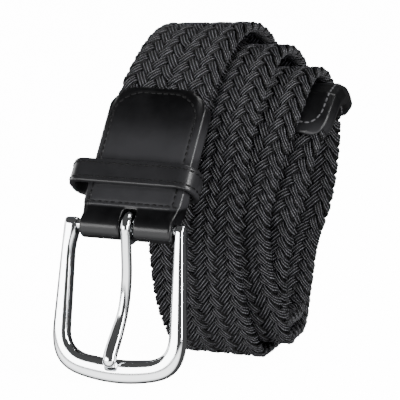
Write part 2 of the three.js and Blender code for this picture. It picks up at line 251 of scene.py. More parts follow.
braid_cord, shader = new_material("spun_polyester_cord")
tree = braid_cord.node_tree
over_cord = add_node(tree, "ShaderNodeAttribute", attribute_name="over")
run_along = add_node(tree, "ShaderNodeAttribute", attribute_name="run")
place = add_node(tree, "ShaderNodeTexCoord")
blotch = add_node(tree, "ShaderNodeTexNoise", [("Vector", place.outputs["Object"])],
                  inputs={"Scale": 900.0, "Detail": 3.0})
yarn_phase = add_node(tree, "ShaderNodeMath", [(0, over_cord.outputs["Fac"])],
                      operation="MULTIPLY", inputs={1: 2 * math.pi / YARN_SPACING})
yarn = add_node(tree, "ShaderNodeMath", [(0, yarn_phase.outputs[0])], operation="COSINE")
crown = add_node(tree, "ShaderNodeMapRange", [("Value", yarn.outputs[0])],
                 inputs={"From Min": 0.1, "From Max": 1.0, "To Min": 0.0, "To Max": 1.0})
twist_phase = add_node(tree, "ShaderNodeMath", [
    (0, run_along.outputs["Fac"]), (2, yarn_phase.outputs[0]),
], operation="MULTIPLY_ADD", inputs={1: 2 * math.pi / TWIST_SPACING})
twist = add_node(tree, "ShaderNodeMath", [(0, twist_phase.outputs[0])], operation="SINE")
tick = add_node(tree, "ShaderNodeMapRange", [("Value", twist.outputs[0])],
                inputs={"From Min": -1.0, "From Max": 1.0, "To Min": 0.35, "To Max": 1.0})
ticked = add_node(tree, "ShaderNodeMath", [(0, crown.outputs["Result"]),
                                           (1, tick.outputs["Result"])], operation="MULTIPLY")
shade = add_node(tree, "ShaderNodeMath", [(0, ticked.outputs[0]), (1, blotch.outputs["Fac"])],
                 operation="MULTIPLY")
# Painted highlight and shade: the colour goes from near black between the yarns and in the twist lines to
# grey on each yarn's crown.
ramp = add_node(tree, "ShaderNodeValToRGB", [("Fac", shade.outputs[0])])
ramp.color_ramp.elements[0].position = 0.08
ramp.color_ramp.elements[0].color = linear("#010102")
ramp.color_ramp.elements[1].position = 0.6
ramp.color_ramp.elements[1].color = linear("#737378")
relief = add_node(tree, "ShaderNodeMath", [(0, twist.outputs[0]), (2, yarn.outputs[0])],
                  operation="MULTIPLY_ADD", inputs={1: 0.35})
yarn_bump = add_node(tree, "ShaderNodeBump", [("Height", relief.outputs[0])],
                     inputs={"Strength": 1.0, "Distance": 0.18 * MM})
tree.links.new(ramp.outputs["Color"], shader.inputs["Base Color"])
tree.links.new(yarn_bump.outputs["Normal"], shader.inputs["Normal"])
shader.inputs["Roughness"].default_value = 0.42
shader.inputs["Specular IOR Level"].default_value = 0.2

# %% [markdown]
# ### Smooth dyed leather
# Corrected-grain leather is dyed black and finished with a thin clear coat. The grain is finer than
# a millimetre; it is seen as small cells that break up the shine. A painted sheen makes it paler
# lower down, near the keeper and above the fold, and a short table of heights tells how pale it is.

# %% Leather material
GRAIN = 0.7 * MM
# Height in millimetres, share of painted sheen: the fold, above its seam, the keeper, the tab's face
PAINTED_SHEEN_TABLE = [
    (46, 0.25), (50.5, 0), (52.8, 0), (53.6, 0.7), (58, 0.7), (60, 0.4), (66, 0.4), (68, 0.8),
    (72, 0.6), (78, 0.12), (84, 0),
]


def leather_material(name, dark, light, roughness):
    material, shader = new_material(name)
    tree = material.node_tree
    place = add_node(tree, "ShaderNodeTexCoord")
    cells = add_node(tree, "ShaderNodeTexVoronoi", [("Vector", place.outputs["Object"])],
                     feature="DISTANCE_TO_EDGE", inputs={"Scale": 1 / GRAIN})
    wear = add_node(tree, "ShaderNodeTexNoise", [("Vector", place.outputs["Object"])],
                    inputs={"Scale": 130.0, "Detail": 5.0, "Roughness": 0.6})
    axes = add_node(tree, "ShaderNodeSeparateXYZ", [("Vector", place.outputs["Object"])])
    # Painted sheen: this height table makes the colour paler where light falls on the fold, the keeper
    # and the tab's lower face; the noise adds random wear.
    height = add_node(tree, "ShaderNodeMapRange", [("Value", axes.outputs["Z"])],
                      inputs={"From Min": 40 * MM, "From Max": 90 * MM, "To Min": 0.0, "To Max": 1.0})
    painted_sheen = add_node(tree, "ShaderNodeValToRGB", [("Fac", height.outputs["Result"])])
    stops = painted_sheen.color_ramp.elements
    stops[0].position = (PAINTED_SHEEN_TABLE[0][0] - 40) / 50
    stops[0].color = [PAINTED_SHEEN_TABLE[0][1]] * 3 + [1]
    stops[1].position = (PAINTED_SHEEN_TABLE[-1][0] - 40) / 50
    stops[1].color = [PAINTED_SHEEN_TABLE[-1][1]] * 3 + [1]
    for z, share in PAINTED_SHEEN_TABLE[1:-1]:
        stops.new((z - 40) / 50).color = [share] * 3 + [1]
    amount = add_node(tree, "ShaderNodeMath", [(0, wear.outputs["Fac"]),
                                               (2, painted_sheen.outputs["Color"])],
                      operation="MULTIPLY_ADD", inputs={1: 0.35})
    tint = add_node(tree, "ShaderNodeValToRGB", [("Fac", amount.outputs[0])])
    tint.color_ramp.elements[0].position = 0.15
    tint.color_ramp.elements[0].color = linear(dark)
    tint.color_ramp.elements[1].position = 0.9
    tint.color_ramp.elements[1].color = linear(light)
    gloss = add_node(tree, "ShaderNodeMapRange", [("Value", wear.outputs["Fac"])],
                     inputs={"To Min": roughness - 0.06, "To Max": roughness + 0.1})
    bump = add_node(tree, "ShaderNodeBump", [("Height", cells.outputs["Distance"])],
                    inputs={"Strength": 0.22, "Distance": 0.08 * MM})
    tree.links.new(tint.outputs["Color"], shader.inputs["Base Color"])
    tree.links.new(gloss.outputs["Result"], shader.inputs["Roughness"])
    tree.links.new(bump.outputs["Normal"], shader.inputs["Normal"])
    shader.inputs["Specular IOR Level"].default_value = 0.13
    shader.inputs["Coat Weight"].default_value = 0.32
    shader.inputs["Coat Roughness"].default_value = 0.26
    return material


leather = leather_material("black_smooth_leather", "#050506", "#2d2d2f", 0.34)

# %% [markdown]
# ### Waxed thread and polished chrome
# The thread is black and a little shiny. The buckle is cast, polished and chromed, so it shows
# almost nothing of its own: it mirrors the bright floor and lights and the darker room between.

# %% Thread, chrome and floor materials
def thread_material(name, dark, light):
    """Twisted thread: dark between its plies and lighter on them."""
    material, shader = new_material(name)
    tree = material.node_tree
    place = add_node(tree, "ShaderNodeTexCoord")
    fuzz = add_node(tree, "ShaderNodeTexNoise", [("Vector", place.outputs["Object"])],
                    inputs={"Scale": 2500.0})
    tint = add_node(tree, "ShaderNodeValToRGB", [("Fac", fuzz.outputs["Fac"])])
    tint.color_ramp.elements[0].color = linear(dark)
    tint.color_ramp.elements[1].color = linear(light)
    tree.links.new(tint.outputs["Color"], shader.inputs["Base Color"])
    shader.inputs["Roughness"].default_value = 0.55
    shader.inputs["Specular IOR Level"].default_value = 0.2
    return material


thread = thread_material("waxed_black_thread", "#020203", "#0b0b0c")
worn_thread = thread_material("worn_thread", "#161617", "#666669")

chrome, shader = new_material("polished_chrome")
tree = chrome.node_tree
place = add_node(tree, "ShaderNodeTexCoord")
haze = add_node(tree, "ShaderNodeTexNoise", [("Vector", place.outputs["Object"])],
                inputs={"Scale": 160.0, "Detail": 4.0})
polish = add_node(tree, "ShaderNodeMapRange", [("Value", haze.outputs["Fac"])],
                  inputs={"To Min": 0.05, "To Max": 0.12})
tree.links.new(polish.outputs["Result"], shader.inputs["Roughness"])
shader.inputs["Base Color"].default_value = linear("#eceef0")
shader.inputs["Metallic"].default_value = 1.0

paper, shader = new_material("pale_paper")
shader.inputs["Base Color"].default_value = linear("#fafafa")
shader.inputs["Roughness"].default_value = 0.9
shader.inputs["Emission Color"].default_value = linear("#ffffff")
shader.inputs["Emission Strength"].default_value = 14.0

# %% [markdown]
# ## The braid
# A flat braid is made of cords that all cross the strap slantwise, turn round at its edges and
# come back. With 17 cords and a rule of two over, two under, the cords that lean one way are on
# top in every other column, which draws the herringbone. The rule is a formula, so the cords'
# middle lines are worked out as points, and Geometry Nodes draws a ribbed cord along each.

# %% The rule of the braid
CORDS = 17
CORD_WIDTH = 3.25
CORD_THICKNESS = 1.6
BRAID_SPAN = 29.6
CORD_SPACING = 4.2
LIFT = 1.0
STEP = 0.9
HIDDEN = 7.0
PINCH = 0.36
TAB_END = 1.1
TIP_LENGTH = 27

crossing = BRAID_SPAN / CORDS
traverse = CORD_SPACING * CORDS / 2
print("column width", round(2 * crossing, 2), "mm, slant", round(traverse), "mm")


def cord_line(number):
    """Middle points of one cord and the direction that its flat side faces."""
    s = np.arange(join_run + TAB_END - HIDDEN, strap_length - TIP_LENGTH + HIDDEN, STEP)
    phase = (s / (2 * traverse) + number / CORDS) % 1
    rightwards = phase < 0.5
    v = CORDS * np.where(rightwards, 2 * phase, 2 - 2 * phase)
    ease = 0.45
    soft = np.sqrt(v**2 + ease**2) - 0.6 * ease
    far = CORDS - v
    soft = np.where(v > CORDS / 2, CORDS - (np.sqrt(far**2 + ease**2) - 0.6 * ease), soft)
    u = -BRAID_SPAN / 2 + soft * crossing
    column = np.cos(math.pi * (v - 1.5) / 2)
    column = np.where(v < 1.5, np.cos(math.pi * (v - 1.5) / 3), column)
    column = np.where(far < 1.5, -np.cos(math.pi * (far - 1.5) / 3), column)
    column = np.tanh(1.9 * column) / math.tanh(1.9)
    w = LIFT * np.where(rightwards, 1, -1) * column

    def wrap(distance):
        t = np.clip((distance + 1.3) / 2.6, 0, 1)
        return math.pi * t * t * (3 - 2 * t)

    # Round the right edge the flat side turns one way, round the left edge back again.
    turned = np.where(
        rightwards,
        np.where(far < 1.5, -wrap(-far), np.where(v < 1.5, -math.pi + wrap(v), 0)),
        np.where(far < 1.5, -wrap(far), np.where(v < 1.5, -math.pi + wrap(-v), -math.pi)),
    )
    sideways, out = strap_axes(s)
    facing = out * np.cos(turned)[:, None] + sideways * np.sin(turned)[:, None]
    # Where a cord dives under its neighbour near the edge it is pinched, which scallops the edge.
    size = 1 - PINCH * np.exp(-((np.minimum(v, far) - 0.95) / 0.4) ** 2)
    return on_strap(s, u, w) * MM, facing, size


# %% Turn points into a mesh of lines that Geometry Nodes can follow
def line_object(name, lines):
    """One object of poly lines, each (points, facing, size), the last two kept as attributes."""
    mesh = bpy.data.meshes.new(name)
    points = np.concatenate([p for p, _, _ in lines])
    edges = []
    start = 0
    for p, _, _ in lines:
        edges += [(start + i, start + i + 1) for i in range(len(p) - 1)]
        start += len(p)
    mesh.from_pydata(points.tolist(), edges, [])
    attribute = mesh.attributes.new("facing", "FLOAT_VECTOR", "POINT")
    attribute.data.foreach_set("vector", np.concatenate([f for _, f, _ in lines]).ravel())
    attribute = mesh.attributes.new("size", "FLOAT", "POINT")
    attribute.data.foreach_set("value", np.concatenate([k for _, _, k in lines]))
    obj = bpy.data.objects.new(name, mesh)
    bpy.context.scene.collection.objects.link(obj)
    return obj


def new_tree(name, inputs):
    """A Geometry Nodes tree with named inputs: (name, socket kind, value)."""
    tree = bpy.data.node_groups.new(name, "GeometryNodeTree")
    tree.interface.new_socket("Geometry", in_out="INPUT", socket_type="NodeSocketGeometry")
    for label, kind, value in inputs:
        socket = tree.interface.new_socket(label, in_out="INPUT", socket_type=kind)
        if value is not None:
            socket.default_value = value
    tree.interface.new_socket("Geometry", in_out="OUTPUT", socket_type="NodeSocketGeometry")
    return tree, tree.nodes.new("NodeGroupInput"), tree.nodes.new("NodeGroupOutput")


def made_by_nodes(obj, tree, values, name):
    """The plain mesh that a tree makes of an object; the object itself is removed."""
    modifier = obj.modifiers.new("nodes", "NODES")
    modifier.node_group = tree
    for item in tree.interface.items_tree:
        if item.item_type == "SOCKET" and item.in_out == "INPUT" and item.name in values:
            modifier[item.identifier] = values[item.name]
    evaluated = obj.evaluated_get(bpy.context.evaluated_depsgraph_get())
    mesh = bpy.data.meshes.new_from_object(evaluated)
    mesh.name = name
    bpy.data.objects.remove(obj)
    piece = bpy.data.objects.new(name, mesh)
    bpy.context.scene.collection.objects.link(piece)
    print(name, len(mesh.polygons), "faces")
    return piece


# %% The tree that draws a ribbed cord along each line
cord_tree, group_in, group_out = new_tree("ribbed_cord", [
    ("Cord Width", "NodeSocketFloat", CORD_WIDTH * MM),
    ("Cord Thickness", "NodeSocketFloat", CORD_THICKNESS * MM),
    ("Corners", "NodeSocketInt", 20),
    ("Rib Depth", "NodeSocketFloat", 0.24),
    ("Material", "NodeSocketMaterial", None),
])
tree = cord_tree
wires = add_node(tree, "GeometryNodeMeshToCurve", [("Mesh", group_in.outputs["Geometry"])])
facing = add_node(tree, "GeometryNodeInputNamedAttribute", data_type="FLOAT_VECTOR",
                  inputs={"Name": "facing"})
faced = add_node(tree, "GeometryNodeSetCurveNormal", [
    ("Curve", wires.outputs["Curve"]), ("Normal", facing.outputs["Attribute"]),
], mode="FREE")
spline = add_node(tree, "GeometryNodeSplineParameter")
metered = add_node(tree, "GeometryNodeCaptureAttribute", [("Geometry", faced.outputs["Curve"])])
metered.capture_items.new("FLOAT", "Run")
tree.links.new(spline.outputs["Length"], metered.inputs["Run"])

circle = add_node(tree, "GeometryNodeCurvePrimitiveCircle", [
    ("Resolution", group_in.outputs["Corners"]),
], inputs={"Radius": 0.5})
place = add_node(tree, "GeometryNodeInputPosition")
axes = add_node(tree, "ShaderNodeSeparateXYZ", [("Vector", place.outputs[0])])
pressed = add_node(tree, "ShaderNodeMapRange", [("Value", axes.outputs["X"])],
                   inputs={"From Min": -0.42, "From Max": 0.42, "To Min": -0.5, "To Max": 0.5})
rib_phase = add_node(tree, "ShaderNodeMath", [(0, axes.outputs["Y"])], operation="MULTIPLY",
                     inputs={1: 2 * math.pi * CORD_WIDTH * MM / YARN_SPACING})
rib = add_node(tree, "ShaderNodeMath", [(0, rib_phase.outputs[0])], operation="COSINE")
lowest = add_node(tree, "ShaderNodeMath", [(1, group_in.outputs["Rib Depth"])],
                  operation="SUBTRACT", inputs={0: 1.0})
rib_rise = add_node(tree, "ShaderNodeMapRange", [
    ("Value", rib.outputs[0]), ("To Min", lowest.outputs[0]),
], inputs={"From Min": -1.0, "From Max": 1.0, "To Max": 1.0})
ribbed = add_node(tree, "ShaderNodeMath", [(0, pressed.outputs["Result"]),
                                           (1, rib_rise.outputs["Result"])], operation="MULTIPLY")
pressed_place = add_node(tree, "ShaderNodeCombineXYZ", [("X", ribbed.outputs[0]),
                                                        ("Y", axes.outputs["Y"])])
flat = add_node(tree, "ShaderNodeCombineXYZ", [("X", group_in.outputs["Cord Thickness"]),
                                               ("Y", group_in.outputs["Cord Width"])])
section = add_node(tree, "ShaderNodeVectorMath", [(0, pressed_place.outputs[0]),
                                                  (1, flat.outputs[0])], operation="MULTIPLY")
shaped = add_node(tree, "GeometryNodeSetPosition", [("Geometry", circle.outputs["Curve"]),
                                                    ("Position", section.outputs[0])])
section_axes = add_node(tree, "ShaderNodeSeparateXYZ", [("Vector", place.outputs[0])])
placed = add_node(tree, "GeometryNodeCaptureAttribute", [("Geometry", shaped.outputs["Geometry"])])
placed.capture_items.new("FLOAT", "Over")
tree.links.new(section_axes.outputs["Y"], placed.inputs["Over"])

pinch = add_node(tree, "GeometryNodeInputNamedAttribute", data_type="FLOAT", inputs={"Name": "size"})
skin = add_node(tree, "GeometryNodeCurveToMesh", [
    ("Curve", metered.outputs["Geometry"]), ("Profile Curve", placed.outputs["Geometry"]),
    ("Scale", pinch.outputs["Attribute"]),
], inputs={"Fill Caps": True})
keep_run = add_node(tree, "GeometryNodeStoreNamedAttribute", [
    ("Geometry", skin.outputs["Mesh"]), ("Value", metered.outputs["Run"]),
], data_type="FLOAT", domain="POINT", inputs={"Name": "run"})
keep_over = add_node(tree, "GeometryNodeStoreNamedAttribute", [
    ("Geometry", keep_run.outputs["Geometry"]), ("Value", placed.outputs["Over"]),
], data_type="FLOAT", domain="POINT", inputs={"Name": "over"})
smooth = add_node(tree, "GeometryNodeSetShadeSmooth", [("Geometry", keep_over.outputs[0])])
whole = add_node(tree, "GeometryNodeRealizeInstances", [("Geometry", smooth.outputs[0])])
painted = add_node(tree, "GeometryNodeSetMaterial", [
    ("Geometry", whole.outputs[0]), ("Material", group_in.outputs["Material"]),
])
tree.links.new(painted.outputs["Geometry"], group_out.inputs["Geometry"])

# %% Braid the strap in three bundles of cords
for bundle in range(3):
    numbers = range(bundle, CORDS, 3)
    name = f"braid_cords_{bundle + 1}"
    cords = made_by_nodes(line_object(name + "_lines", [cord_line(n) for n in numbers]), cord_tree,
                          {"Material": braid_cord}, name)
    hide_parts("braided_strap")
    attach(cords, "root")


# %% [markdown]
# Between the cords the eye would see daylight through the smallest gaps. The real cords have
# rubber threads inside and press together, so a thin dark band in the middle closes the braid.

# %% Close the braid with a thin band
def skin_mesh(name, rings, closed_ends=True):
    """A mesh skin over rings of equally many points, in millimetres."""
    mesh = bpy.data.meshes.new(name)
    size = len(rings[0])
    vertices = (np.concatenate(rings) * MM).tolist()
    faces = []
    for i in range(len(rings) - 1):
        for j in range(size):
            k = (j + 1) % size
            faces.append((i * size + j, i * size + k, (i + 1) * size + k, (i + 1) * size + j))
    if closed_ends:
        faces.append(tuple(reversed(range(size))))
        faces.append(tuple(range((len(rings) - 1) * size, len(rings) * size)))
    mesh.from_pydata(vertices, [], faces)
    builder = bmesh.new()
    builder.from_mesh(mesh)
    bmesh.ops.recalc_face_normals(builder, faces=builder.faces)
    builder.to_mesh(mesh)
    builder.free()
    mesh.polygons.foreach_set("use_smooth", [True] * len(mesh.polygons))
    piece = bpy.data.objects.new(name, mesh)
    bpy.context.scene.collection.objects.link(piece)
    return piece


core_half = BRAID_SPAN / 2 - 2.2
core_rings = [
    on_strap(np.full(4, s), np.array([-core_half, core_half, core_half, -core_half]),
             np.array([-0.35, -0.35, 0.35, 0.35]))
    for s in np.arange(join_run + TAB_END - HIDDEN, strap_length - TIP_LENGTH + HIDDEN, 3.0)
]
core = skin_mesh("braid_core", core_rings)
rubber, shader = new_material("rubber_core")
tree = rubber.node_tree
place = add_node(tree, "ShaderNodeTexCoord")
speck = add_node(tree, "ShaderNodeTexNoise", [("Vector", place.outputs["Object"])],
                 inputs={"Scale": 700.0})
tint = add_node(tree, "ShaderNodeValToRGB", [("Fac", speck.outputs["Fac"])])
tint.color_ramp.elements[0].color = linear("#060607")
tint.color_ramp.elements[1].color = linear("#101012")
tree.links.new(tint.outputs["Color"], shader.inputs["Base Color"])
shader.inputs["Roughness"].default_value = 0.8
core.data.materials.append(rubber)
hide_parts("braided_strap")
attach(core, "root")

# %% [markdown]
# ## Leather pieces
# Cut leather never has a hard edge: it is skived thin, folded and burnished. The solid pieces are
# copied, rebuilt with small even faces and relaxed, which rounds every edge by about half a
# millimetre. The tab's seams are then pressed in by moving points.

# %% Soften a solid
def vertices_of(mesh):
    flat = np.empty(len(mesh.vertices) * 3)
    mesh.vertices.foreach_get("co", flat)
    return flat.reshape(-1, 3) / MM


def set_vertices(mesh, points):
    mesh.vertices.foreach_set("co", (points * MM).ravel())
    mesh.update()


def softened(node, name, voxel, passes, swell=0.12):
    """A finely faced, relaxed copy of a CAD node's mesh."""
    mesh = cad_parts[node].data.copy()
    builder = bmesh.new()
    builder.from_mesh(mesh)
    bmesh.ops.remove_doubles(builder, verts=builder.verts, dist=0.002 * MM)
    builder.to_mesh(mesh)
    builder.free()
    rough = bpy.data.objects.new(name + "_rough", mesh)
    bpy.context.scene.collection.objects.link(rough)
    remesh = rough.modifiers.new("remesh", "REMESH")
    remesh.mode = "VOXEL"
    remesh.voxel_size = voxel * MM
    relax = rough.modifiers.new("relax", "SMOOTH")
    relax.factor = 0.5
    relax.iterations = passes
    evaluated = rough.evaluated_get(bpy.context.evaluated_depsgraph_get())
    soft = bpy.data.meshes.new_from_object(evaluated)
    bpy.data.objects.remove(rough)
    soft.name = name
    soft.materials.clear()
    soft.materials.append(leather)
    soft.polygons.foreach_set("use_smooth", [True] * len(soft.polygons))
    normals = np.empty(len(soft.vertices) * 3)
    soft.vertex_normals.foreach_get("vector", normals)
    set_vertices(soft, vertices_of(soft) + normals.reshape(-1, 3) * swell)
    piece = bpy.data.objects.new(name, soft)
    bpy.context.scene.collection.objects.link(piece)
    print(name, len(soft.polygons), "faces")
    return piece


# %% Sizes of the leather pieces, in millimetres
LEATHER = 1.6
FIT = 0.3
TAB_WIDTH = 33.8
TAB_LENGTH = 47
TAB_CORNER = 12
TAB_HALF = STRAP_THICKNESS / 2 + FIT + LEATHER
SEAM_INSET = 3.0
FOLD_SEAM = 6.4


def bump_of(x, low, high):
    """0 below low, 1 above high, smooth between."""
    t = np.clip((x - low) / (high - low), 0, 1)
    return t * t * (3 - 2 * t)


def inside_tab(x, z):
    """Distance in from the tab's outline, rounded at its upper corners."""
    half = TAB_WIDTH / 2
    dx = np.maximum(np.abs(x) - (half - TAB_CORNER), 0)
    dz = np.maximum(z - (TAB_LENGTH - TAB_CORNER), 0)
    return np.where((dx > 0) & (dz > 0), TAB_CORNER - np.hypot(dx, dz),
                    np.minimum(half - np.abs(x), TAB_LENGTH - z))


def tab_relief(x, z):
    """How far the tab's faces stand out: padded inside its seam, pressed in along it."""
    d = inside_tab(x, z)
    pad = 0.3 * bump_of(d, SEAM_INSET + 0.2, SEAM_INSET + 6) * bump_of(z, FOLD_SEAM, FOLD_SEAM + 5)
    groove = np.exp(-((d - SEAM_INSET) / 0.55) ** 2) * bump_of(z, FOLD_SEAM - 0.3, FOLD_SEAM + 0.3)
    fold_groove = np.exp(-((z - FOLD_SEAM) / 0.55) ** 2)
    step = -0.3 * (1 - bump_of(z, FOLD_SEAM - 1.1, FOLD_SEAM - 0.7))
    rolled = 0.7 * (1 - np.clip(d / (SEAM_INSET - 0.3), 0, 1)) ** 2 * bump_of(z, FOLD_SEAM, FOLD_SEAM + 5)
    return pad - 0.2 * np.maximum(groove, fold_groove) + step * bump_of(z, 1, 4) - rolled


# %% The tab, with its seams pressed in
tab = softened("leather_tab", "padded_leather_tab", 0.42, 5)
points = vertices_of(tab.data)
local = (points - bar_centre) @ np.array([X_AXIS, tab_in, tab_up]).T
on_face = bump_of(np.abs(local[:, 1]), TAB_HALF - 1.1, TAB_HALF - 0.4)
relief = tab_relief(local[:, 0], local[:, 2]) * on_face * bump_of(local[:, 2], 2, 5)
local[:, 1] += np.sign(local[:, 1]) * relief
set_vertices(tab.data, on_tab(local[:, 0], local[:, 1], local[:, 2]))
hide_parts("leather_tab")
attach(tab, "root")

# %% The keeper loop and the tip
keeper = softened("keeper_loop", "leather_keeper", 0.36, 4)
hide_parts("keeper_loop")
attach(keeper, "root")

tip = softened("leather_tip", "leather_end_piece", 0.36, 6)
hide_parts("leather_tip")
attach(tip, "root")

# %% [markdown]
# ## Stitches
# A sewing machine lays one stitch after another at an even pace, each sinking where the needle
# went through. That is a pattern along a path, so one small tree places a slim bead of thread at
# every step of a seam line and turns it along the line.

# %% The tree that sews along a line
stitch_tree, group_in, group_out = new_tree("sewn_seam", [
    ("Pace", "NodeSocketFloat", 2.1 * MM),
    ("Stitch Length", "NodeSocketFloat", 1.75 * MM),
    ("Thread Width", "NodeSocketFloat", 0.62 * MM),
    ("Material", "NodeSocketMaterial", None),
])
tree = stitch_tree
wires = add_node(tree, "GeometryNodeMeshToCurve", [("Mesh", group_in.outputs["Geometry"])])
steps = add_node(tree, "GeometryNodeCurveToPoints", [
    ("Curve", wires.outputs["Curve"]), ("Length", group_in.outputs["Pace"]),
], mode="LENGTH")
bead = add_node(tree, "GeometryNodeMeshUVSphere", inputs={"Segments": 8, "Rings": 5, "Radius": 0.5})
size = add_node(tree, "ShaderNodeCombineXYZ", [
    ("X", group_in.outputs["Thread Width"]), ("Y", group_in.outputs["Thread Width"]),
    ("Z", group_in.outputs["Stitch Length"]),
])
sewn = add_node(tree, "GeometryNodeInstanceOnPoints", [
    ("Points", steps.outputs["Points"]), ("Instance", bead.outputs["Mesh"]),
    ("Rotation", steps.outputs["Rotation"]), ("Scale", size.outputs[0]),
])
real = add_node(tree, "GeometryNodeRealizeInstances", [("Geometry", sewn.outputs[0])])
smooth = add_node(tree, "GeometryNodeSetShadeSmooth", [("Geometry", real.outputs[0])])
painted = add_node(tree, "GeometryNodeSetMaterial", [
    ("Geometry", smooth.outputs[0]), ("Material", group_in.outputs["Material"]),
])
tree.links.new(painted.outputs["Geometry"], group_out.inputs["Geometry"])


THREAD_PROUD = 0.02


def sew(name, leather_piece, lines, yarn_of_seam=thread):
    """One piece of stitches along lines of points, laid onto a leather piece's surface."""
    builder = bmesh.new()
    builder.from_mesh(leather_piece.data)
    surface = BVHTree.FromBMesh(builder)
    builder.free()
    wires = []
    for points in lines:
        found = [surface.find_nearest(Vector(p * MM)) for p in points]
        laid = np.array([place + normal * THREAD_PROUD * MM for place, normal, _, _ in found])
        wires.append((laid, np.array([normal for _, normal, _, _ in found]), np.ones(len(laid))))
    piece = made_by_nodes(line_object(name + "_lines", wires), stitch_tree,
                          {"Material": yarn_of_seam}, name)
    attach(piece, "root")
    return piece


# %% Seam lines on the tab
def tab_seam(side):
    """Up one edge of the tab, round its end and down the other, on its front (-1) or back (1)."""
    half = TAB_WIDTH / 2 - SEAM_INSET
    corner = TAB_CORNER - SEAM_INSET
    top = TAB_LENGTH - TAB_CORNER
    arc = np.linspace(0, math.pi / 2, 12)
    x = np.concatenate([
        np.full(8, half), half - corner + corner * np.cos(arc),
        -(half - corner + corner * np.cos(arc[::-1])), np.full(8, -half),
    ])
    rise = np.linspace(FOLD_SEAM + 1, top, 8, endpoint=False)
    z = np.concatenate([rise, top + corner * np.sin(arc), top + corner * np.sin(arc[::-1]),
                        rise[::-1]])
    y = side * (TAB_HALF + tab_relief(x, z) + 0.02)
    return on_tab(x, y, z)


def fold_seam(side):
    x = np.linspace(-TAB_WIDTH / 2 + 2.2, TAB_WIDTH / 2 - 2.2, 40)
    z = np.full(40, FOLD_SEAM)
    y = side * (TAB_HALF + tab_relief(x, z) + 0.02)
    return on_tab(x, y, z)


sew("tab_stitches", tab, [tab_seam(-1), tab_seam(1), fold_seam(-1), fold_seam(1)])

# %% Seam lines round the keeper
KEEPER_WIDTH = 7.6
KEEPER_INSIDE = 38.4
KEEPER_PLAY = 1.4
KEEPER_UP = 16
KEEPER_ASIDE = -2
KEEPER_CORNER = 3.6


def keeper_seam(row):
    """A line round the loop's outside, row millimetres above its middle."""
    w = KEEPER_INSIDE / 2 + LEATHER
    d = TAB_HALF + KEEPER_PLAY / 2 + LEATHER
    r = KEEPER_CORNER + LEATHER
    shift = KEEPER_PLAY / 2 - FIT
    x = []
    y = []
    for corner, (sx, sy) in enumerate([(1, -1), (1, 1), (-1, 1), (-1, -1)]):
        arc = np.linspace(0, math.pi / 2, 9) + (corner - 1) * math.pi / 2
        x.append(sx * (w - r) + r * np.cos(arc))
        y.append(sy * (d - r) + r * np.sin(arc))
    x = np.concatenate(x + [x[0][:1]])
    y = np.concatenate(y + [y[0][:1]])
    return on_tab(x + KEEPER_ASIDE, y + shift, np.full(len(x), KEEPER_UP + row))


sew("keeper_stitches", keeper, [keeper_seam(-2.4), keeper_seam(2.4)])

# %% The seam line round the end piece
TIP_WIDTH = 33.6
TIP_WALL = 1.5
TIP_CORNER = 6
TIP_SEAM_CORNER = 4.5
TIP_HALF = STRAP_THICKNESS / 2 + FIT + TIP_WALL

tip_start = strap_length - (TIP_LENGTH - 2 * TIP_WALL)


def tip_seam(side):
    """Round the end piece's rounded inner end, on the strap's outer (1) or inner (-1) face."""
    half = TIP_WIDTH / 2 - 2.8
    corner = TIP_SEAM_CORNER
    arc = np.linspace(0, math.pi / 2, 10)
    u = np.concatenate([
        np.full(8, half), half - corner + corner * np.cos(arc),
        -(half - corner + corner * np.cos(arc[::-1])), np.full(8, -half),
    ])
    bend = tip_start + 2.8 + corner * (1 - np.sin(arc))
    back = np.linspace(strap_length - 1, bend[0], 8, endpoint=False)
    s = np.concatenate([back, bend, bend[::-1], back[::-1]])
    w = np.full(len(u), side * (TIP_HALF - 0.1))
    return on_strap(s, u, w)


sew("tip_stitches", tip, [tip_seam(1), tip_seam(-1)], worn_thread)

# %% [markdown]
# ## The buckle
# The frame is cast and polished, so its section is round everywhere and swells into the end bar.
# A loft between the inner and the outer outline gives that in one smooth skin. The tongue is a
# wire, bent into an eye at the bar and flattened at its tip.

# %% Sizes of the buckle, in millimetres
BAR_RADIUS = 1.6
BUCKLE_INSIDE = 33
SIDE_BAR = 3.5
SIDE_FLARE = 1.9
END_BAR = 7.2
END_BOW = 2.2
BUCKLE_REACH = 47.15
BUCKLE_THICKNESS = 4.8
BUCKLE_ASIDE = -1.2
CORNER_OUTER = 13
CORNER_INNER = 8
EDGE_ROUND = 1.3
FLOOR_GAP = 0.05
TONGUE_WIRE = 3.3
TONGUE_TIP = 4.4
TONGUE_SET = 1.6
TONGUE_ASIDE = -2.8
NOTCH = 0.8
TONGUE_OVERHANG = 2.2

half_depth = BUCKLE_THICKNESS / 2
heel = half_depth - EDGE_ROUND
bar_height = bar_centre[2] - FLOOR_GAP
lean = math.acos(min(1, bar_height / math.hypot(BUCKLE_REACH, heel))) + math.atan2(heel, BUCKLE_REACH)
buckle_turn = np.array(Matrix.Rotation(-lean, 3, "X"))
buckle_origin = bar_centre + BUCKLE_ASIDE * X_AXIS
print("bar at", buckle_origin.round(2), "lean", round(math.degrees(lean), 2))


def in_buckle(points):
    """Points of the frame's own plane, x along the bar and z up from it, as they stand."""
    return np.asarray(points) @ buckle_turn.T + buckle_origin


# %% The frame as a loft between two outlines
def bezier(points, t):
    """A Bezier curve of any degree."""
    points = [np.array(p, dtype=float) for p in points]
    t = np.asarray(t)[:, None]
    while len(points) > 1:
        points = [a * (1 - t) + b * t for a, b in zip(points, points[1:])]
    return points[0]


